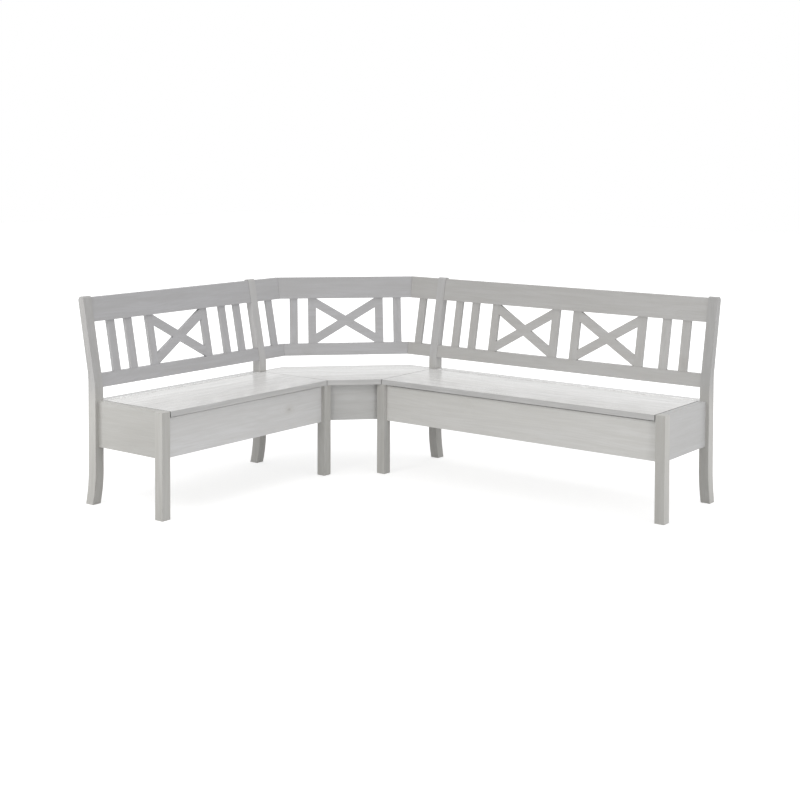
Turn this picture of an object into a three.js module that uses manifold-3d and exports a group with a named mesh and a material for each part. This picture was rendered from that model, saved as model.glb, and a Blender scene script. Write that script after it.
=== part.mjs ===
// Corner storage bench: two chests with hinged lids at right angles, a corner seat between them, and a leaning
// back of rails, slats and crossed bars that turns the corner in three facets.
// Millimetres, Z up. The left bench runs along -Y with its back at -X, the right bench along +X with its back at +Y.
import * as THREE from "three";
import { mergeVertices } from "three/addons/utils/BufferGeometryUtils.js";
import Module from "manifold-3d";

const wasm = await Module();
wasm.setup();

// Driving dimensions of the layout
const SEAT_HEIGHT = 450;
const LEFT_LENGTH = 1065;
const RIGHT_LENGTH = 1504;
const CORNER_RUN = 156;
const LEG = 44;
const BOARD = 24;

// Posts: seat depth to their front, then their own depths and bends
const SEAT_DEPTH = 415;
const POST_DEPTH = 46;
const FOOT_SWEEP = 21;
const FOOT_DEPTH = 44;
const FOOT_CURVE_SHARE = 0.333;
const FOOT_STRAIGHT_SHARE = 0.55;
const POST_ABOVE_SEAT = 448;
const POST_TOP_DEPTH = 31;
const POST_REAR_BEND = 107;
const POST_FRONT_ROUND = 9;
const POST_REAR_ROUND = 20;
const BEND_RUN = 26;

// Lean of the back: the run of its front face per unit of height, and where that face starts above the seat
const LEAN = 0.2;
const LEAN_START = 58;
const CORNER_SET = 25;

// Rails, slats and crossed bars of the back
const TOP_RAIL_HEIGHT = 104;
const TOP_RAIL_BELOW_POST = 7;
const BOTTOM_RAIL_HEIGHT = 57;
const BOTTOM_RAIL_ABOVE_SEAT = 58;
const RAIL_SET = 2.5;
const RAIL_THICK = 24;
const SLAT_WIDTH = 40;
const SLAT_THICK = 14;
const SLAT_SET = 8;
const PANEL_OPENING = 298;
const BAR_COVER = 47;
const CORNER_SLAT_AT = 67;
const FACET_GAP = 52;
const MITRE_GAP = 0.8;
const WHOLE_SHARE = 1;

// The free length of a bench's back is shared out over its gaps in these parts
const END_GAP_SHARE = 76;
const PAIR_GAP_SHARE = 58;
const PANEL_GAP_SHARE = 82;
const MIDDLE_GAP_SHARE = 74;

// Chests
const PANEL_HEIGHT = 197;
const SIDE_INSET = 16;
const FRONT_INSET = 20;
const FLOOR_UP = 9;
const FLOOR_THICK = 12;
const REAR_INSET = 3;
const LID_POST_GAP = 7;
const LID_STRIP_GAP = 4;
const LID_END_GAP = 4.5;
const LID_FRONT_GAP = 7;
const LID_REST = 12;
const STRIP_OVERHANG = 5;
const SEAM_AT = 26;
const SEAM_GAP = 3;

// Corner seat and its apron
const SEAT_POST_GAP = 2;
const SEAT_REAR_RUN = 26;
const SEAT_REAR_TURN = 147;
const APRON_SET = 32;
const APRON_THICK = 20;

// Lid hinges
const HINGE_END = 16;
const HINGE_AXIS_ABOVE = 0.8;
const KNUCKLE_RADIUS = 1.8;
const KNUCKLE_LENGTH = 60;
const KNUCKLE_CLEAR = 0.4;
const LEAF_THICK = 1.2;
const LEAF_DEPTH = 18;
const PIN_RADIUS = 0.8;
const PIN_BORE = 1.1;
const ROUND_SIDES = 16;
const CURVE_STEPS = 8;

// Sizes that follow from the ones above
const LID_LOW = SEAT_HEIGHT - BOARD;
const PANEL_LOW = SEAT_HEIGHT - PANEL_HEIGHT;
const POST_FRONT = SEAT_DEPTH;
const POST_REAR = POST_FRONT + POST_DEPTH;
const POST_TOP = SEAT_HEIGHT + POST_ABOVE_SEAT;
const TOP_RAIL_HIGH = POST_TOP - TOP_RAIL_BELOW_POST;
const TOP_RAIL_LOW = TOP_RAIL_HIGH - TOP_RAIL_HEIGHT;
const BOTTOM_RAIL_LOW = SEAT_HEIGHT + BOTTOM_RAIL_ABOVE_SEAT;
const BOTTOM_RAIL_HIGH = BOTTOM_RAIL_LOW + BOTTOM_RAIL_HEIGHT;
const LID_REAR = POST_FRONT - LID_POST_GAP;
const STRIP_FRONT = LID_REAR + LID_STRIP_GAP;
const STRIP_REAR = POST_REAR + STRIP_OVERHANG;
const REAR_PANEL_REAR = POST_REAR - REAR_INSET;
const FLOOR_LOW = PANEL_LOW + FLOOR_UP;
const STILE_PANEL = 2 * SLAT_WIDTH + PANEL_OPENING;
const DIAGONAL = Math.SQRT2;
const BEND_FRONT = SEAT_HEIGHT + LEAN_START;
const BEND_REAR = SEAT_HEIGHT + POST_REAR_BEND;
const leanAt = (z) => POST_FRONT + LEAN * (z - BEND_FRONT);
const cornerLeanAt = (z) => leanAt(z) - CORNER_SET;
const POST_TOP_REAR = leanAt(POST_TOP) + POST_TOP_DEPTH;

const PAINTED = { color: 0xeeeeea, roughness: 0.45 };
const INSIDE = { color: 0xe3e1d9, roughness: 0.6 };
const METAL = { color: 0xd9d9d6, roughness: 0.35, metalness: 0.8 };

// The whole bench, with its box's bottom centre at the origin
const bench = new THREE.Group();
bench.name = "corner_storage_bench";
const layout = new THREE.Group();
layout.position.set(
  -(CORNER_RUN + RIGHT_LENGTH - POST_TOP_REAR) / 2,
  -(CORNER_RUN + POST_TOP_REAR - LEFT_LENGTH) / 2,
  0,
);
bench.add(layout);

// Frames for the two benches and the diagonal facet: first axis along the seat from the corner's side, second
// axis from the front of the legs to the rear
const left = new THREE.Group();
left.matrixAutoUpdate = false;
left.matrix.set(0, -1, 0, 0, -1, 0, 0, 0, 0, 0, 1, 0, 0, 0, 0, 1);
const right = new THREE.Group();
right.position.set(CORNER_RUN, CORNER_RUN, 0);
const facet = new THREE.Group();
facet.position.set(CORNER_RUN / 2, CORNER_RUN / 2, 0);
facet.rotation.z = Math.PI / 4;
layout.add(left, right, facet);

function add(group, name, geometry, look) {
  const mesh = new THREE.Mesh(geometry, new THREE.MeshStandardMaterial(look));
  mesh.name = name;
  group.add(mesh);
}

// A board or block with level and square faces
function block(fromS, toS, fromT, toT, low, high) {
  const geometry = new THREE.BoxGeometry(toS - fromS, toT - fromT, high - low);
  geometry.translate((fromS + toS) / 2, (fromT + toT) / 2, (low + high) / 2);
  return geometry;
}

const corners = (points) => points.map(([x, y]) => new THREE.Vector2(x, y));
const rectangle = (fromS, toS, low, high) => [
  [fromS, low],
  [toS, low],
  [toS, high],
  [fromS, high],
];

function extrude(shape, depth) {
  return new THREE.ExtrudeGeometry(shape, { depth, bevelEnabled: false, curveSegments: CURVE_STEPS });
}

// The same geometry with each vertex moved by a rule
function moved(geometry, rule) {
  const at = geometry.getAttribute("position");
  for (let i = 0; i < at.count; i++) {
    at.setXYZ(i, ...rule(at.getX(i), at.getY(i), at.getZ(i)));
  }
  geometry.computeVertexNormals();
  return geometry;
}

// A level board from its plan
function planBoard(points, low, high) {
  const geometry = extrude(new THREE.Shape(corners(points)), high - low);
  return moved(geometry, (s, t, z) => [s, t, low + z]);
}

// A board of the back from its front view, leaning with the back, set behind the back's front face
function backBoard(points, set, thick, lean, holes = []) {
  const shape = new THREE.Shape(corners(points));
  for (const hole of holes) {
    shape.holes.push(new THREE.Path(corners(hole)));
  }
  return moved(extrude(shape, thick), (s, z, depth) => [s, lean(z) + set + thick - depth, z]);
}

// A rail whose two ends follow planes, each given as the distance along it at a depth
function cutRail(startAt, endAt, low, high, lean) {
  const share = backBoard(rectangle(0, WHOLE_SHARE, low, high), RAIL_SET, RAIL_THICK, lean);
  return moved(share, (part, t, z) => [startAt(t) + part * (endAt(t) - startAt(t)), t, z]);
}

// A rear post from its side view: the foot sweeps back, the upper part leans
function post(fromS) {
  const outline = new THREE.Shape();
  const curveTop = SEAT_HEIGHT * FOOT_CURVE_SHARE;
  const straight = curveTop * FOOT_STRAIGHT_SHARE;
  const roundLow = POST_TOP - POST_REAR_ROUND;
  const frontRoundLow = POST_TOP - POST_FRONT_ROUND;
  const rearRun = (POST_TOP_REAR - POST_REAR) / (roundLow - BEND_REAR);
  const leanRear = (z) => POST_REAR + rearRun * (z - BEND_REAR);
  const footFront = POST_FRONT + FOOT_SWEEP;
  const rearLow = BEND_REAR - BEND_RUN;
  const rearHigh = BEND_REAR + BEND_RUN;
  const frontLow = BEND_FRONT - BEND_RUN;
  const frontHigh = BEND_FRONT + BEND_RUN;
  outline.moveTo(footFront, 0);
  outline.lineTo(footFront + FOOT_DEPTH, 0);
  outline.quadraticCurveTo(POST_REAR, straight, POST_REAR, curveTop);
  outline.lineTo(POST_REAR, rearLow);
  outline.quadraticCurveTo(POST_REAR, BEND_REAR, leanRear(rearHigh), rearHigh);
  outline.lineTo(POST_TOP_REAR, roundLow);
  outline.quadraticCurveTo(POST_TOP_REAR, POST_TOP, POST_TOP_REAR - POST_REAR_ROUND, POST_TOP);
  outline.lineTo(leanAt(POST_TOP) + POST_FRONT_ROUND, POST_TOP);
  outline.quadraticCurveTo(leanAt(POST_TOP), POST_TOP, leanAt(frontRoundLow), frontRoundLow);
  outline.lineTo(leanAt(frontHigh), frontHigh);
  outline.quadraticCurveTo(POST_FRONT, BEND_FRONT, POST_FRONT, frontLow);
  outline.lineTo(POST_FRONT, curveTop);
  outline.quadraticCurveTo(POST_FRONT, straight, footFront, 0);
  return moved(extrude(outline, LEG), (t, z, s) => [fromS + s, t, z]);
}

// Crossed bars between two stiles, lapped where they meet and level with each other
const CROSS_LOW = BOTTOM_RAIL_HIGH;
const CROSS_HIGH = TOP_RAIL_LOW;
const CROSS_RISE = CROSS_HIGH - CROSS_LOW;
const MEET_SHARE = CROSS_RISE / (2 * (CROSS_RISE - BAR_COVER));
const CROSS_MID = (CROSS_LOW + CROSS_HIGH) / 2;
const crossTop = (at) => [at + PANEL_OPENING / 2, CROSS_MID + BAR_COVER / 2];
const crossBottom = (at) => [at + PANEL_OPENING / 2, CROSS_MID - BAR_COVER / 2];
const crossRight = (at) => [at + PANEL_OPENING * MEET_SHARE, CROSS_MID];
const crossLeft = (at) => [at + PANEL_OPENING * (1 - MEET_SHARE), CROSS_MID];

function cross(at) {
  const end = at + PANEL_OPENING;
  const points = [
    [at, CROSS_LOW],
    crossBottom(at),
    [end, CROSS_LOW],
    [end, CROSS_LOW + BAR_COVER],
    crossRight(at),
    [end, CROSS_HIGH - BAR_COVER],
    [end, CROSS_HIGH],
    crossTop(at),
    [at, CROSS_HIGH],
    [at, CROSS_HIGH - BAR_COVER],
    crossLeft(at),
    [at, CROSS_LOW + BAR_COVER],
  ];
  return backBoard(points, SLAT_SET, SLAT_THICK, leanAt);
}

// The corner's crossed bars with their two stiles as one glued frame
function crossFrame(at) {
  const end = at + PANEL_OPENING;
  const points = [
    [at - SLAT_WIDTH, CROSS_LOW],
    [at, CROSS_LOW],
    crossBottom(at),
    [end, CROSS_LOW],
    [end + SLAT_WIDTH, CROSS_LOW],
    [end + SLAT_WIDTH, CROSS_HIGH],
    [end, CROSS_HIGH],
    crossTop(at),
    [at, CROSS_HIGH],
    [at - SLAT_WIDTH, CROSS_HIGH],
  ];
  const holes = [
    [[at, CROSS_LOW + BAR_COVER], crossLeft(at), [at, CROSS_HIGH - BAR_COVER]],
    [[end, CROSS_LOW + BAR_COVER], crossRight(at), [end, CROSS_HIGH - BAR_COVER]],
  ];
  return backBoard(points, SLAT_SET, SLAT_THICK, cornerLeanAt, holes);
}

function slat(at, lean) {
  return backBoard(rectangle(at, at + SLAT_WIDTH, CROSS_LOW, CROSS_HIGH), SLAT_SET, SLAT_THICK, lean);
}

// One bench's back between its posts: two slats at each end and the crossed panels between them
function back(group, side, length, panels) {
  const from = LEG;
  const to = length - LEG;
  const endShares = END_GAP_SHARE + PAIR_GAP_SHARE + PANEL_GAP_SHARE;
  const shares = 2 * endShares + (panels - 1) * MIDDLE_GAP_SHARE;
  const slats = 4;
  const part = (to - from - slats * SLAT_WIDTH - panels * STILE_PANEL) / shares;
  const step = SLAT_WIDTH + PAIR_GAP_SHARE * part;
  const pair = step + SLAT_WIDTH + PANEL_GAP_SHARE * part;
  const endGap = END_GAP_SHARE * part;
  const rail = (low, high) => backBoard(rectangle(from, to, low, high), RAIL_SET, RAIL_THICK, leanAt);
  add(group, `${side}_top_rail`, rail(TOP_RAIL_LOW, TOP_RAIL_HIGH), PAINTED);
  add(group, `${side}_bottom_rail`, rail(BOTTOM_RAIL_LOW, BOTTOM_RAIL_HIGH), PAINTED);
  const first = from + endGap;
  const last = to - endGap - SLAT_WIDTH;
  [first, first + step, last - step, last].forEach((at, i) => {
    add(group, `${side}_slat_${i + 1}`, slat(at, leanAt), PAINTED);
  });
  for (let i = 0; i < panels; i++) {
    const at = first + pair + i * (STILE_PANEL + MIDDLE_GAP_SHARE * part);
    const opening = at + SLAT_WIDTH;
    add(group, `${side}_stile_${2 * i + 1}`, slat(at, leanAt), PAINTED);
    add(group, `${side}_stile_${2 * i + 2}`, slat(opening + PANEL_OPENING, leanAt), PAINTED);
    add(group, `${side}_cross_${i + 1}`, cross(opening), PAINTED);
  }
}

// A chest's front: the lid rests on its two raised ends and clears the rest of it
function frontPanel(from, to) {
  const clearHigh = LID_LOW - LID_FRONT_GAP;
  const points = [
    [from, PANEL_LOW],
    [to, PANEL_LOW],
    [to, LID_LOW],
    [to - LID_REST, LID_LOW],
    [to - LID_REST, clearHigh],
    [from + LID_REST, clearHigh],
    [from + LID_REST, LID_LOW],
    [from, LID_LOW],
  ];
  const geometry = extrude(new THREE.Shape(corners(points)), LEG - FRONT_INSET);
  return moved(geometry, (s, z, depth) => [s, LEG - depth, z]);
}

// One bench's chest: free end leg, post and side panel, front, rear, floor, lid and the strip the lid hinges on
function chest(group, side, length) {
  const from = LEG;
  const to = length - LEG;
  const outer = length - SIDE_INSET;
  const floorHigh = FLOOR_LOW + FLOOR_THICK;
  const rearFront = REAR_PANEL_REAR - BOARD;
  add(group, `${side}_end_leg`, block(to, length, 0, LEG, 0, SEAT_HEIGHT), PAINTED);
  add(group, `${side}_end_post`, post(to), PAINTED);
  add(group, `${side}_side_panel`, block(to, outer, LEG, POST_FRONT, PANEL_LOW, SEAT_HEIGHT), PAINTED);
  add(group, `${side}_front_panel`, frontPanel(from, to), PAINTED);
  add(group, `${side}_rear_panel`, block(from, to, rearFront, REAR_PANEL_REAR, PANEL_LOW, LID_LOW), PAINTED);
  add(group, `${side}_floor_panel`, block(from, to, LEG, rearFront, FLOOR_LOW, floorHigh), INSIDE);
  add(group, `${side}_hinge_strip`, block(from, to, STRIP_FRONT, STRIP_REAR, LID_LOW, SEAT_HEIGHT), PAINTED);
  const lidFrom = SEAM_AT + SEAM_GAP / 2;
  add(group, `${side}_lid`, block(lidFrom, to - LID_END_GAP, 0, LID_REAR, LID_LOW, SEAT_HEIGHT), PAINTED);
}

// Joins and cuts closed shapes, given and taken as three.js geometry
function toSolid(geometry) {
  const plain = geometry.clone();
  plain.deleteAttribute("normal");
  plain.deleteAttribute("uv");
  const merged = mergeVertices(plain);
  const vertProperties = new Float32Array(merged.getAttribute("position").array);
  const triVerts = new Uint32Array(merged.index.array);
  return new wasm.Manifold(new wasm.Mesh({ numProp: 3, vertProperties, triVerts }));
}

function toGeometry(solid) {
  const mesh = solid.getMesh();
  const geometry = new THREE.BufferGeometry();
  geometry.setAttribute("position", new THREE.BufferAttribute(new Float32Array(mesh.vertProperties), mesh.numProp));
  geometry.setIndex(new THREE.BufferAttribute(new Uint32Array(mesh.triVerts), 1));
  const flat = geometry.toNonIndexed();
  flat.computeVertexNormals();
  return flat;
}

// A rod along the bench
function rod(start, end, radius, atT, atZ) {
  const geometry = new THREE.CylinderGeometry(radius, radius, end - start, ROUND_SIDES);
  geometry.rotateZ(Math.PI / 2);
  geometry.translate((start + end) / 2, atT, atZ);
  return toSolid(geometry);
}

// A long hinge in the slot behind the lid: each leaf is a plate with every other knuckle, and the fixed one
// holds the pin
function hinge(group, side, length) {
  const from = LEG + HINGE_END;
  const to = length - LEG - HINGE_END;
  const count = 2 * Math.floor((to - from) / (2 * KNUCKLE_LENGTH)) + 1;
  const step = (to - from) / count;
  const axisT = (LID_REAR + STRIP_FRONT) / 2;
  const axisZ = SEAT_HEIGHT + HINGE_AXIS_ABOVE;
  const plateHigh = axisZ - KNUCKLE_RADIUS - KNUCKLE_CLEAR;
  const plateLow = SEAT_HEIGHT - LEAF_DEPTH;
  const leaf = (plateT, first) => {
    const slab = (start, end, low, high) => toSolid(block(start, end, plateT, plateT + LEAF_THICK, low, high));
    let joined = slab(from, to, plateLow, plateHigh);
    for (let i = first; i < count; i += 2) {
      const start = from + i * step + KNUCKLE_CLEAR / 2;
      const end = from + (i + 1) * step - KNUCKLE_CLEAR / 2;
      joined = joined.add(slab(start, end, plateHigh - LEAF_THICK, axisZ));
      joined = joined.add(rod(start, end, KNUCKLE_RADIUS, axisT, axisZ));
    }
    return joined;
  };
  const fixed = leaf(STRIP_FRONT - LEAF_THICK, 0).add(rod(from, to, PIN_RADIUS, axisT, axisZ));
  const swinging = leaf(LID_REAR, 1).subtract(rod(from, to, PIN_BORE, axisT, axisZ));
  add(group, `${side}_hinge_fixed_leaf`, toGeometry(fixed), METAL);
  add(group, `${side}_hinge_lid_leaf`, toGeometry(swinging), METAL);
}

// The corner's share on one side: the leg and post that both seats meet at, the panel that closes the chest, and
// the short facet of the back up to the mitre
function cornerSide(group, side) {
  const mitreAt = (t) => DIAGONAL * CORNER_SET - (DIAGONAL - 1) * t + MITRE_GAP / 2;
  const rail = (low, high) => cutRail(mitreAt, () => 0, low, high, leanAt);
  add(group, `corner_${side}_leg`, block(0, LEG, 0, LEG, 0, LID_LOW), PAINTED);
  add(group, `corner_${side}_post`, post(0), PAINTED);
  add(group, `corner_${side}_inner_panel`, block(SIDE_INSET, LEG, LEG, POST_FRONT, PANEL_LOW, LID_LOW), PAINTED);
  add(group, `corner_${side}_top_rail`, rail(TOP_RAIL_LOW, TOP_RAIL_HIGH), PAINTED);
  add(group, `corner_${side}_bottom_rail`, rail(BOTTOM_RAIL_LOW, BOTTOM_RAIL_HIGH), PAINTED);
  add(group, `corner_${side}_outer_slat`, slat(-CORNER_SLAT_AT - SLAT_WIDTH, leanAt), PAINTED);
}

// The diagonal facet of the back
function cornerFacet() {
  const half = PANEL_OPENING / 2;
  const shift = DIAGONAL * (CORNER_SET + CORNER_RUN / 2);
  const endAt = (t) => (DIAGONAL - 1) * t + shift - MITRE_GAP / 2;
  const rail = (low, high) => cutRail((t) => -endAt(t), endAt, low, high, cornerLeanAt);
  add(facet, "corner_middle_top_rail", rail(TOP_RAIL_LOW, TOP_RAIL_HIGH), PAINTED);
  add(facet, "corner_middle_bottom_rail", rail(BOTTOM_RAIL_LOW, BOTTOM_RAIL_HIGH), PAINTED);
  add(facet, "corner_cross_frame", crossFrame(-half), PAINTED);
  const slatAt = half + SLAT_WIDTH + FACET_GAP;
  add(facet, "corner_left_inner_slat", slat(-slatAt - SLAT_WIDTH, cornerLeanAt), PAINTED);
  add(facet, "corner_right_inner_slat", slat(slatAt, cornerLeanAt), PAINTED);
}

// The corner seat, notched round the two posts, and the diagonal board under its front edge
function cornerSeat() {
  const seam = SEAM_AT - SEAM_GAP / 2;
  const rear = POST_FRONT + SEAT_REAR_RUN;
  const side = [
    [0, -seam],
    [SEAT_POST_GAP - POST_FRONT, -seam],
    [SEAT_POST_GAP - POST_FRONT, SEAT_POST_GAP],
    [-rear, SEAT_POST_GAP],
    [-rear, SEAT_REAR_TURN],
  ];
  const other = side.map(([x, y]) => [CORNER_RUN - y, CORNER_RUN - x]).reverse();
  add(layout, "corner_seat", planBoard([...side, ...other], LID_LOW, SEAT_HEIGHT), PAINTED);
  const back = APRON_SET + APRON_THICK * DIAGONAL;
  const apron = [
    [-APRON_SET, 0],
    [CORNER_RUN, CORNER_RUN + APRON_SET],
    [CORNER_RUN, CORNER_RUN + back],
    [-back, 0],
  ];
  add(layout, "corner_apron", planBoard(apron, PANEL_LOW, LID_LOW), PAINTED);
}

const SIDES = [
  { group: left, side: "left", length: LEFT_LENGTH, panels: 1 },
  { group: right, side: "right", length: RIGHT_LENGTH, panels: 2 },
];
for (const { group, side, length, panels } of SIDES) {
  chest(group, side, length);
  hinge(group, side, length);
  back(group, side, length, panels);
  cornerSide(group, side);
}
cornerFacet();
cornerSeat();

export default bench;
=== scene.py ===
"""Corner storage bench in pale glazed pine under soft studio light. Metres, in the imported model's own frame."""

import math

import bpy
from mathutils import Matrix, Vector

MM = 0.001

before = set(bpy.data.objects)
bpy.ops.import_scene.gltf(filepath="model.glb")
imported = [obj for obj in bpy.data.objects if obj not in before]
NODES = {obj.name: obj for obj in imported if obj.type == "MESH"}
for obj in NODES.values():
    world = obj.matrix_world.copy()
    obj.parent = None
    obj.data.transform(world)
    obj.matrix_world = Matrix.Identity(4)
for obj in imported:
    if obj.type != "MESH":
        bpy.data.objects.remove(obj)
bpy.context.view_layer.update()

# Where the photograph was taken from, in the frame of the corner's two inner leg faces
CORNER_AT = Vector((-0.568, 0.1925, 0.0))
EYE = Vector((4.221, -4.9517, 1.5319))
EYE_YAW = 0.6474
EYE_PITCH = 0.0392
EYE_ROLL = 0.0035
FOCAL_PIXELS = 1384.375
CENTRE_PIXEL = (411.92, 204.79)
PHOTO_PIXELS = 800
SENSOR = 36.0
FAR_CLIP = 100.0

# Edge rounding of the boards
EDGE = 2.2 * MM
SOFT_EDGE = 2.0 * MM
THIN_EDGE = 1.6 * MM
EDGE_SEGMENTS = 3
EDGE_ANGLE = math.radians(35)

# Colours of the glaze, linear. It is one glaze in lit and shaded copies: the seat brightest, the chest fronts
# next, and the legs, ends, apron and backs darker as painted shade
SEAT_TINT = (0.88, 0.88, 0.88)
FRONT_TINT = (0.78, 0.777, 0.764)
LEFT_FRONT_TINT = (0.772, 0.772, 0.778)
LEFT_END_TINT = (0.55, 0.546, 0.53)
RIGHT_END_TINT = (0.555, 0.555, 0.558)
LEG_TINT = (0.575, 0.569, 0.55)
BACK_TINT = (0.477, 0.476, 0.49)
LEFT_BACK_TINT = (0.463, 0.462, 0.477)
RIGHT_BACK_TINT = (0.518, 0.513, 0.507)
APRON_TINT = (0.614, 0.614, 0.61)
INSIDE_TINT = (0.76, 0.75, 0.72)
METAL_TINT = (0.86, 0.86, 0.85)
METAL_DARKER = 0.8

# Painted shade: the upright rims of the seat boards are painted darker than their lit tops, and their sawn ends
# in a seam darker still as painted shadow
SEAT_RIM_SHADE = 0.73
SEAM_SHADE = 0.52
RIM_UPRIGHT = (0.2, 0.7)
SEAM_FACING = (0.85, 0.97)

# The posts are painted darker from the seat up, as painted shade, to match the back
POST_FADE = (0.91, 0.915, 0.955)
END_POST_FADE = (0.78, 0.783, 0.81)
FADE_HEIGHTS = (0.4, 0.56)

# How glossy the glaze is, and how much the late wood and the pores change it
BOARD_ROUGH = 0.42
SEAT_ROUGH = 0.21
LATE_SMOOTHER = -0.05
PORE_ROUGHER = 0.09
GLAZE_SPECULAR = 0.42

# Grain of a board: X along it, Y across it, Z through it; each stretch is a share of the board's own metres
SEED_STEP = (0.731, 0.417, 0.193)
FLAT_STRETCH = (1.0, 1.0, 0.12)
KNOT_STRETCH = (0.72, 1.0, 0.03)
SLOW_STRETCH = (0.16, 1.0, 0.5)
FINE_STRETCH = (0.045, 1.0, 1.0)
BRUSH_STRETCH = (0.07, 1.0, 1.0)
KNOT_CELLS = 4.6
KNOT_SHARE = 0.5
KNOT_RADIUS = 0.048
KNOT_SPREAD = 0.028
KNOT_WOBBLE = 0.035
KNOT_WOBBLE_SCALE = 85.0
HEART_EDGE = (0.55, 1.15)
HALO_EDGE = (0.7, 4.2)
RING_WIDTH = 14.5 * MM
RING_DRIFT = 0.34
RING_DRIFT_SCALE = 5.2
RING_TILT = 0.55
RING_ROUND_KNOT = 0.03
LATE_POWER = 2.0
PORE_SCALE = 620.0
PORE_EDGE = (0.5, 0.72)
CLOUD_SCALE = 7.0
CLOUD_EDGE = (0.3, 0.72)
BRUSH_SCALE = 55.0
BRUSH_EDGE = (0.36, 0.66)

# How far each mark darkens the tint, and how much of it shows
CLOUD_TONE = (0.93, 0.925, 0.91)
LATE_TONE = (0.86, 0.85, 0.825)
PORE_TONE = (0.89, 0.885, 0.87)
SEAT_BRUSH_TONE = (0.79, 0.787, 0.78)
KNOT_TONE = (0.68, 0.66, 0.635)
RINGSIDE_TONE = (0.80, 0.78, 0.745)
CLOUD_SHOWS = 0.85
BRUSH_SHOWS = 0.8
LATE_SHOWS = 0.24
PORE_SHOWS = 0.4
RINGSIDE_SHOWS = 0.55
RINGSIDE_POWER = 3.0
HEART_SHOWS = 0.85

# Relief of the grain
LATE_RISE = 0.25
PORE_SINK = -0.8
HEART_RISE = 0.5
RELIEF_STRENGTH = 0.22
RELIEF_DEPTH = 0.6 * MM

# Brushed hinge metal
SCRATCH_STRETCH = (1.0, 1.0, 40.0)
SCRATCH_SCALE = 60.0
SCRATCH_ROUGH = (0.3, 0.48)
SCRATCH_EDGE = (0.3, 0.7)


def add_node(tree, kind, **values):
    """A shader node with its settings and its unlinked inputs."""
    node = tree.nodes.new(kind)
    for name, value in values.items():
        if name in node.inputs:
            node.inputs[name].default_value = value
        else:
            setattr(node, name, value)
    return node


def link(tree, source, target):
    tree.links.new(source, target)


def math_node(tree, operation, first, second=None, third=None):
    """A math node from sockets or numbers."""
    node = tree.nodes.new("ShaderNodeMath")
    node.operation = operation
    for index, value in enumerate((first, second, third)):
        if value is None:
            continue
        if isinstance(value, (int, float)):
            node.inputs[index].default_value = value
        else:
            tree.links.new(value, node.inputs[index])
    return node.outputs[0]


def vector_node(tree, operation, vector, value):
    """A vector math node whose second input is a fixed vector."""
    node = add_node(tree, "ShaderNodeVectorMath", operation=operation)
    node.inputs[1].default_value = value
    link(tree, vector, node.inputs[0])
    return node


def stretched(tree, vector, stretch):
    return vector_node(tree, "MULTIPLY", vector, stretch).outputs[0]


def noise(tree, vector, **settings):
    node = add_node(tree, "ShaderNodeTexNoise", **settings)
    link(tree, vector, node.inputs["Vector"])
    return node.outputs["Fac"]


def ramp(tree, factor, low, high, edge):
    """Maps the range between an edge's two values onto another, smoothly and clamped."""
    node = add_node(tree, "ShaderNodeMapRange", interpolation_type="SMOOTHSTEP")
    node.inputs["From Min"].default_value = edge[0]
    node.inputs["From Max"].default_value = edge[1]
    node.inputs["To Min"].default_value = low
    node.inputs["To Max"].default_value = high
    link(tree, factor, node.inputs["Value"])
    return node.outputs["Result"]


def mix_colour(tree, factor, first, second):
    node = tree.nodes.new("ShaderNodeMix")
    node.data_type = "RGBA"
    factor_input, first_input, second_input = node.inputs[0], node.inputs[6], node.inputs[7]
    link(tree, factor, factor_input)
    for target, value in ((first_input, first), (second_input, second)):
        if isinstance(value, tuple):
            target.default_value = (*value, 1)
        else:
            link(tree, value, target)
    return node.outputs[2]


def toned(tint, tone):
    return tuple(c * k for c, k in zip(tint, tone))


def board_axes(along, face):
    """Rotation that turns the row frame so that X runs along the grain and Z out of the board's face."""
    x = Vector(along).normalized()
    z = Vector(face)
    z = (z - x * z.dot(x)).normalized()
    y = z.cross(x)
    return Matrix((x, y, z)).to_euler("XYZ")


def board_place(tree, where, along, face, seed):
    """The place along, across and through the board, shifted so that no two boards match."""
    turn = add_node(tree, "ShaderNodeMapping")
    turn.inputs["Rotation"].default_value = board_axes(along, face)
    link(tree, where.outputs["Object"], turn.inputs["Vector"])
    shift = tuple(step * seed for step in SEED_STEP)
    return vector_node(tree, "ADD", turn.outputs[0], shift).outputs[0]


def knots_in(tree, board):
    """The heart of a knot now and then along a board, longer with the grain, and the halo round it."""
    spots = add_node(tree, "ShaderNodeTexVoronoi", feature="F1", Scale=KNOT_CELLS, Randomness=1.0)
    link(tree, stretched(tree, board, KNOT_STRETCH), spots.inputs["Vector"])
    wobble = noise(tree, stretched(tree, board, FLAT_STRETCH), Scale=KNOT_WOBBLE_SCALE, Detail=2.0)
    wobbled = math_node(tree, "MULTIPLY_ADD", wobble, KNOT_WOBBLE, spots.outputs["Distance"])
    pick = add_node(tree, "ShaderNodeSeparateColor")
    link(tree, spots.outputs["Color"], pick.inputs[0])
    shown = math_node(tree, "LESS_THAN", pick.outputs[0], KNOT_SHARE)
    radius = math_node(tree, "MULTIPLY_ADD", pick.outputs[1], KNOT_SPREAD, KNOT_RADIUS)
    out = math_node(tree, "DIVIDE", wobbled, radius)
    heart = math_node(tree, "MULTIPLY", ramp(tree, out, 1.0, 0.0, HEART_EDGE), shown)
    halo = math_node(tree, "MULTIPLY", ramp(tree, out, 1.0, 0.0, HALO_EDGE), shown)
    return heart, halo


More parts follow.
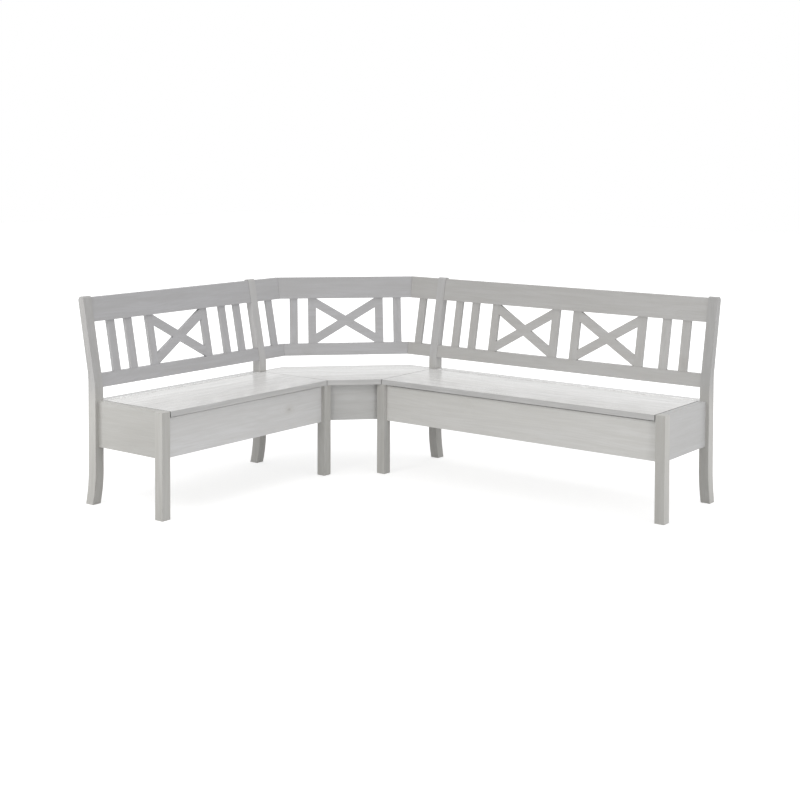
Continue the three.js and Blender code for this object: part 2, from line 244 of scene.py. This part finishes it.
def late_wood(tree, board, slow, halo):
    """Growth rings: bands across the board, bent by slow noise and round the knots."""
    drift = noise(tree, slow, Scale=RING_DRIFT_SCALE, Detail=2.0, Roughness=0.45)
    parts = add_node(tree, "ShaderNodeSeparateXYZ")
    link(tree, board, parts.inputs[0])
    phase = math_node(tree, "MULTIPLY_ADD", drift, RING_DRIFT, parts.outputs["Y"])
    phase = math_node(tree, "MULTIPLY_ADD", parts.outputs["Z"], RING_TILT, phase)
    phase = math_node(tree, "MULTIPLY_ADD", halo, RING_ROUND_KNOT, phase)
    phase = math_node(tree, "MULTIPLY", phase, 2 * math.pi / RING_WIDTH)
    band = math_node(tree, "MULTIPLY_ADD", math_node(tree, "SINE", phase), 0.5, 0.5)
    return math_node(tree, "POWER", band, LATE_POWER)


def grain_colour(tree, tint, marks):
    """The tint with clouds, brush streaks, late wood, pores and knots laid over it in turn."""
    colour = tint
    for amount, shows, tone in marks:
        colour = mix_colour(tree, math_node(tree, "MULTIPLY", amount, shows), colour, toned(tint, tone))
    return colour


def shade_above(tree, colour, where, fade):
    """The colour painted darker above the seat, as painted shade."""
    place = add_node(tree, "ShaderNodeSeparateXYZ")
    link(tree, where.outputs["Object"], place.inputs[0])
    above = ramp(tree, place.outputs["Z"], 0.0, 1.0, FADE_HEIGHTS)
    return mix_colour(tree, above, colour, stretched(tree, colour, fade))


def shade_rims(tree, colour, where):
    """The colour painted darker on upright faces, as painted shade beside the lit tops."""
    side = add_node(tree, "ShaderNodeSeparateXYZ")
    link(tree, where.outputs["Normal"], side.inputs[0])
    upright = ramp(tree, math_node(tree, "ABSOLUTE", side.outputs["Z"]), 1.0, 0.0, RIM_UPRIGHT)
    return mix_colour(tree, upright, colour, stretched(tree, colour, (SEAT_RIM_SHADE, SEAT_RIM_SHADE, SEAT_RIM_SHADE)))


def shade_seam(tree, colour, where, inward):
    """The colour painted much darker on the faces that look one way, as painted shadow in a seam."""
    toward = vector_node(tree, "DOT_PRODUCT", where.outputs["Normal"], inward)
    hidden = ramp(tree, toward.outputs["Value"], 0.0, 1.0, SEAM_FACING)
    return mix_colour(tree, hidden, colour, stretched(tree, colour, (SEAM_SHADE, SEAM_SHADE, SEAM_SHADE)))


def glazed_pine(name, seed, tint, fade):
    """Pale glaze over flat-sawn pine: faint rings bent round small knots, fine pores and soft mottling."""
    material = bpy.data.materials.new("pine_" + name)
    material.use_nodes = True
    tree = material.node_tree
    tree.nodes.clear()
    out = add_node(tree, "ShaderNodeOutputMaterial")
    shader = add_node(tree, "ShaderNodeBsdfPrincipled", Metallic=0.0)
    shader.inputs["Specular IOR Level"].default_value = GLAZE_SPECULAR
    link(tree, shader.outputs[0], out.inputs[0])

    where = add_node(tree, "ShaderNodeTexCoord")
    board = board_place(tree, where, *grain_of(name), seed)
    slow = stretched(tree, board, SLOW_STRETCH)
    heart, halo = knots_in(tree, board)
    late = late_wood(tree, board, slow, halo)
    streak = noise(tree, stretched(tree, board, FINE_STRETCH), Scale=PORE_SCALE, Detail=3.0, Roughness=0.6)
    pores = ramp(tree, streak, 0.0, 1.0, PORE_EDGE)
    cloud = noise(tree, slow, Scale=CLOUD_SCALE, Detail=4.0, Roughness=0.55)
    mottle = ramp(tree, cloud, 0.0, 1.0, CLOUD_EDGE)
    brush = noise(tree, stretched(tree, board, BRUSH_STRETCH), Scale=BRUSH_SCALE, Detail=3.0, Roughness=0.6)
    swept = ramp(tree, brush, 0.0, 1.0, BRUSH_EDGE)

    seat = tint == SEAT_TINT
    colour = grain_colour(tree, tint, (
        (mottle, CLOUD_SHOWS, CLOUD_TONE),
        (swept, BRUSH_SHOWS, SEAT_BRUSH_TONE if seat else PORE_TONE),
        (late, LATE_SHOWS, LATE_TONE),
        (pores, PORE_SHOWS, PORE_TONE),
        (math_node(tree, "POWER", halo, RINGSIDE_POWER), RINGSIDE_SHOWS, RINGSIDE_TONE),
        (heart, HEART_SHOWS, KNOT_TONE),
    ))
    # Painted shade on the posts above the seat
    if fade:
        colour = shade_above(tree, colour, where, fade)
    # Painted shade on the seat boards' upright rims
    if seat:
        colour = shade_rims(tree, colour, where)
    # Painted shadow on the sawn ends that stand in a seam
    for inward in seams_of(name):
        colour = shade_seam(tree, colour, where, inward)
    link(tree, colour, shader.inputs["Base Color"])

    rough = math_node(tree, "MULTIPLY_ADD", late, LATE_SMOOTHER, SEAT_ROUGH if seat else BOARD_ROUGH)
    rough = math_node(tree, "MULTIPLY_ADD", pores, PORE_ROUGHER, rough)
    link(tree, rough, shader.inputs["Roughness"])
    relief = math_node(tree, "MULTIPLY_ADD", late, LATE_RISE, math_node(tree, "MULTIPLY", pores, PORE_SINK))
    relief = math_node(tree, "MULTIPLY_ADD", heart, HEART_RISE, relief)
    bump = add_node(tree, "ShaderNodeBump", Strength=RELIEF_STRENGTH, Distance=RELIEF_DEPTH)
    link(tree, relief, bump.inputs["Height"])
    link(tree, bump.outputs[0], shader.inputs["Normal"])
    return material


def satin_metal():
    """Pale plated steel with fine brushing."""
    material = bpy.data.materials.new("hinge_metal")
    material.use_nodes = True
    tree = material.node_tree
    shader = tree.nodes["Principled BSDF"]
    shader.inputs["Metallic"].default_value = 1.0
    where = add_node(tree, "ShaderNodeTexCoord")
    stretch = add_node(tree, "ShaderNodeMapping")
    stretch.inputs["Scale"].default_value = SCRATCH_STRETCH
    link(tree, where.outputs["Object"], stretch.inputs["Vector"])
    scratch = noise(tree, stretch.outputs[0], Scale=SCRATCH_SCALE, Detail=4.0)
    darker = tuple(c * METAL_DARKER for c in METAL_TINT)
    link(tree, mix_colour(tree, scratch, METAL_TINT, darker), shader.inputs["Base Color"])
    link(tree, ramp(tree, scratch, *SCRATCH_ROUGH, SCRATCH_EDGE), shader.inputs["Roughness"])
    return material


ACROSS = (1, 0, 0)
INWARD = (0, 1, 0)
UP = (0, 0, 1)
DIAGONAL = (1, 1, 0)
FACING = (1, -1, 0)
TOWARD_LEFT = (-1, 0, 0)
TOWARD_FRONT = (0, -1, 0)


def grain_of(name):
    """Which way the grain runs in a node, and which way its wide face looks."""
    left = name.startswith("left") or name.startswith("corner_left")
    run = INWARD if left else ACROSS
    depth = ACROSS if left else INWARD
    middle = "middle" in name or "inner_slat" in name or "cross_frame" in name
    if middle:
        run, depth = DIAGONAL, FACING
    if "slat" in name or "stile" in name:
        return UP, depth
    if "leg" in name or "post" in name:
        return UP, depth
    if "side_panel" in name or "inner_panel" in name:
        return depth, run
    if name.endswith("_lid") or "strip" in name or "floor" in name:
        return run, UP
    if name == "corner_seat":
        return DIAGONAL, UP
    if name == "corner_apron":
        return DIAGONAL, FACING
    return run, depth


# Each part gets its own lit or shaded copy of the glaze colour, as painted light and shade
def tint_of(name):
    if name.endswith("_lid") or name == "corner_seat" or "strip" in name:
        return SEAT_TINT
    if "floor" in name:
        return INSIDE_TINT
    if "front_panel" in name:
        return LEFT_FRONT_TINT if name.startswith("left") else FRONT_TINT
    if "panel" in name:
        return RIGHT_END_TINT if "right" in name else LEFT_END_TINT
    if name == "corner_apron":
        return APRON_TINT
    if "leg" in name or "post" in name:
        return LEG_TINT
    if name.startswith("left"):
        return LEFT_BACK_TINT
    if "inner_slat" in name:
        return BACK_TINT
    return RIGHT_BACK_TINT if "right" in name else BACK_TINT


def fade_of(name):
    if "end_post" in name:
        return END_POST_FADE
    return POST_FADE if "post" in name else None


def seams_of(name):
    """Which ways the sawn ends look that stand in a narrow seam; these ends get painted shadow."""
    if name == "left_lid":
        return [INWARD, TOWARD_FRONT]
    if name == "right_lid":
        return [TOWARD_LEFT, ACROSS]
    return [TOWARD_FRONT, ACROSS] if name == "corner_seat" else []


def edge_of(name):
    if "slat" in name or "stile" in name or "cross" in name:
        return THIN_EDGE
    if name.endswith("_lid") or name == "corner_seat" or "rail" in name:
        return SOFT_EDGE
    return EDGE


def round_edges(node, width):
    """Rounds the board's edges by a small bevel, with the flat faces left flat."""
    bevel = node.modifiers.new("edges", "BEVEL")
    bevel.width = width
    bevel.segments = EDGE_SEGMENTS
    bevel.limit_method = "ANGLE"
    bevel.angle_limit = EDGE_ANGLE
    bevel.harden_normals = True


def dress_nodes():
    metal = satin_metal()
    for seed, name in enumerate(sorted(NODES), start=1):
        node = NODES[name]
        node.data.materials.clear()
        if "hinge_fixed" in name or "hinge_lid" in name:
            node.data.materials.append(metal)
            continue
        node.data.materials.append(glazed_pine(name, seed, tint_of(name), fade_of(name)))
        for polygon in node.data.polygons:
            polygon.use_smooth = True
        round_edges(node, edge_of(name))


def make_camera():
    """The camera at the photograph's place, turned by its yaw, pitch and roll."""
    camera = bpy.data.cameras.new("camera")
    holder = bpy.data.objects.new("camera", camera)
    bpy.context.scene.collection.objects.link(holder)
    ahead = Vector((-math.sin(EYE_YAW), math.cos(EYE_YAW), 0))
    side = Vector((math.cos(EYE_YAW), math.sin(EYE_YAW), 0))
    up = Vector(UP)
    look = ahead * math.cos(EYE_PITCH) - up * math.sin(EYE_PITCH)
    over = up * math.cos(EYE_PITCH) + ahead * math.sin(EYE_PITCH)
    right = side * math.cos(EYE_ROLL) + over * math.sin(EYE_ROLL)
    top = over * math.cos(EYE_ROLL) - side * math.sin(EYE_ROLL)
    turn = Matrix((right, top, -look)).transposed()
    holder.matrix_world = Matrix.Translation(EYE + CORNER_AT) @ turn.to_4x4()
    camera.sensor_width = SENSOR
    camera.lens = FOCAL_PIXELS / PHOTO_PIXELS * SENSOR
    camera.shift_x = (PHOTO_PIXELS / 2 - CENTRE_PIXEL[0]) / PHOTO_PIXELS
    camera.shift_y = (CENTRE_PIXEL[1] - PHOTO_PIXELS / 2) / PHOTO_PIXELS
    camera.clip_end = FAR_CLIP
    bpy.context.scene.camera = holder


def straight_rays(tree):
    """1 for what the camera, mirrors and glass see directly."""
    path = add_node(tree, "ShaderNodeLightPath")
    seen = math_node(tree, "MAXIMUM", path.outputs["Is Camera Ray"], path.outputs["Is Glossy Ray"])
    return math_node(tree, "MAXIMUM", seen, path.outputs["Is Transmission Ray"])


FLOOR_SIZE = 40.0
FLOOR_TINT = (0.5, 0.5, 0.5)
FLOOR_ROUGH = 0.9
FLOOR_LIFT_NEAR = 0.68
FLOOR_LIFT_FAR = 1.0
FLOOR_LIFT_RADII = (1.0, 2.6)


def make_floor():
    """A pale floor that shows the bench's shadow and melts into the white background."""
    half = FLOOR_SIZE / 2
    mesh = bpy.data.meshes.new("floor")
    corners = [(-half, -half, 0), (half, -half, 0), (half, half, 0), (-half, half, 0)]
    mesh.from_pydata(corners, [], [(0, 1, 2, 3)])
    floor = bpy.data.objects.new("floor", mesh)
    bpy.context.scene.collection.objects.link(floor)
    material = bpy.data.materials.new("floor")
    material.use_nodes = True
    tree = material.node_tree
    shader = tree.nodes["Principled BSDF"]
    shader.inputs["Base Color"].default_value = (*FLOOR_TINT, 1)
    shader.inputs["Roughness"].default_value = FLOOR_ROUGH
    where = add_node(tree, "ShaderNodeTexCoord")
    reach = add_node(tree, "ShaderNodeVectorMath", operation="LENGTH")
    link(tree, where.outputs["Object"], reach.inputs[0])
    lift = ramp(tree, reach.outputs["Value"], FLOOR_LIFT_NEAR, FLOOR_LIFT_FAR, FLOOR_LIFT_RADII)
    glow = add_node(tree, "ShaderNodeEmission")
    link(tree, math_node(tree, "MULTIPLY", lift, straight_rays(tree)), glow.inputs["Strength"])
    both = add_node(tree, "ShaderNodeAddShader")
    link(tree, shader.outputs[0], both.inputs[0])
    link(tree, glow.outputs[0], both.inputs[1])
    link(tree, both.outputs[0], tree.nodes["Material Output"].inputs[0])
    mesh.materials.append(material)


WORLD_LIGHT = 0.64


def make_world():
    """Even white light all round, and plain white where it is seen directly."""
    world = bpy.data.worlds.new("studio")
    bpy.context.scene.world = world
    world.use_nodes = True
    tree = world.node_tree
    background = tree.nodes["Background"]
    background.inputs["Color"].default_value = (1, 1, 1, 1)
    strength = math_node(tree, "MULTIPLY_ADD", straight_rays(tree), 1.0 - WORLD_LIGHT, WORLD_LIGHT)
    link(tree, strength, background.inputs["Strength"])


WHITE_LIGHT = (1.0, 1.0, 1.0)
WARM_LIGHT = (1.0, 0.985, 0.95)

# Each lamp's name, place, width and height, watts, the point it looks at, and its colour
LAMPS = (
    ("top", (0.0, 1.2, 3.3), (1.8, 1.8), 19, (0, 0.1, 0.4), WHITE_LIGHT),
    ("left", (-0.7, -2.8, 2.4), (1.2, 1.2), 27, (-0.6, -0.6, 0.6), WARM_LIGHT),
    ("right", (3.4, 0.5, 1.3), (1.2, 1.2), 9, (0.9, 0.5, 0.6), WHITE_LIGHT),
    ("far_right", (5.6, 0.0, 0.9), (1.6, 1.0), 17, (0, 0, 0.5), WHITE_LIGHT),
    ("corner", (3.7, -1.1, 0.7), (1.0, 0.8), 13, (-0.4, 0, 0.3), WHITE_LIGHT),
    ("low_left", (-2.7, -2.5, 0.45), (1.2, 0.7), 12, (-0.95, 0.1, 0.2), WHITE_LIGHT),
)


def area_lamp(name, at, size, power, aim, colour):
    """A soft rectangular lamp that looks at a point."""
    lamp = bpy.data.lights.new(name, "AREA")
    lamp.color = colour
    lamp.energy = power
    lamp.shape = "RECTANGLE"
    lamp.size, lamp.size_y = size
    holder = bpy.data.objects.new(name, lamp)
    holder.location = at
    holder.rotation_mode = "QUATERNION"
    holder.rotation_quaternion = (Vector(aim) - Vector(at)).to_track_quat("-Z", "Y")
    bpy.context.scene.collection.objects.link(holder)


dress_nodes()
make_camera()
make_floor()
make_world()
for settings in LAMPS:
    area_lamp(*settings)
bpy.context.scene.view_settings.view_transform = "Standard"
